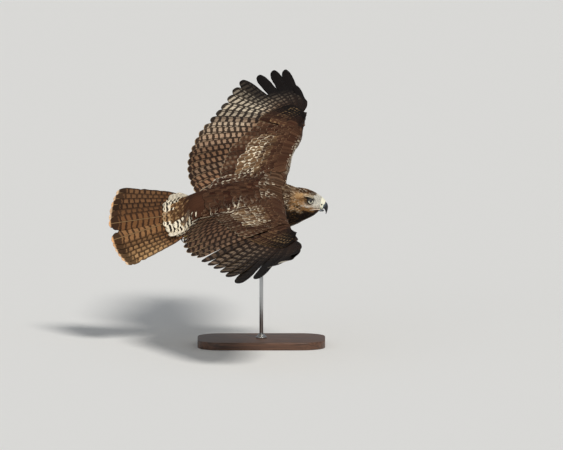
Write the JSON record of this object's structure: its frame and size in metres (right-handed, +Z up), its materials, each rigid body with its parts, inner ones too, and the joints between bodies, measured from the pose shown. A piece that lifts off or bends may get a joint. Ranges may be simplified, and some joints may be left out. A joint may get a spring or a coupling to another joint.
{
  "type": "red-tailed hawk display model",
  "caption": "Life-size young red-tailed hawk in a banked glide, wings and tail spread, held over a flat rounded base by a single rod.",
  "frame": {"origin": "middle of the stand base's flat underside, on the floor", "axes": "+X the way the bird heads, +Y towards its raised left wing, +Z up"},
  "size_m": [0.516, 1.1703, 0.6009],
  "materials": {
    "plumage": "matte, small overlapping body feathers, dark brown with buff edges",
    "flight_feather": "silky feather vanes, brown with dark bars",
    "tail_feather": "silky feather vanes, golden brown with narrow dark bars",
    "cere": "soft waxy skin, pale green-yellow",
    "horn": "polished keratin, blue-grey to black",
    "eye": "wet, glossy, pale iris and black pupil",
    "leg_scale": "scaly skin, dull yellow",
    "claw": "polished black keratin",
    "walnut": "oiled walnut",
    "steel": "satin stainless steel"
  },
  "bodies": {
    "root": {"torso": "plumage", "neck": "plumage", "head": "plumage", "tail": "tail_feather", "wing_left": "flight_feather", "wing_right": "flight_feather", "cere": "cere", "bill_upper": "horn", "bill_lower": "horn", "eye_left": "eye", "eye_right": "eye", "thigh_left": "plumage", "thigh_right": "plumage", "shank_left": "leg_scale", "shank_right": "leg_scale", "foot_left": "leg_scale", "foot_right": "leg_scale", "claw_inner_left": "claw", "claw_middle_left": "claw", "claw_outer_left": "claw", "claw_hind_left": "claw", "claw_inner_right": "claw", "claw_middle_right": "claw", "claw_outer_right": "claw", "claw_hind_right": "claw", "stand_base": "walnut", "stand_collar": "steel", "stand_rod": "steel"}
  },
  "joints": []
}
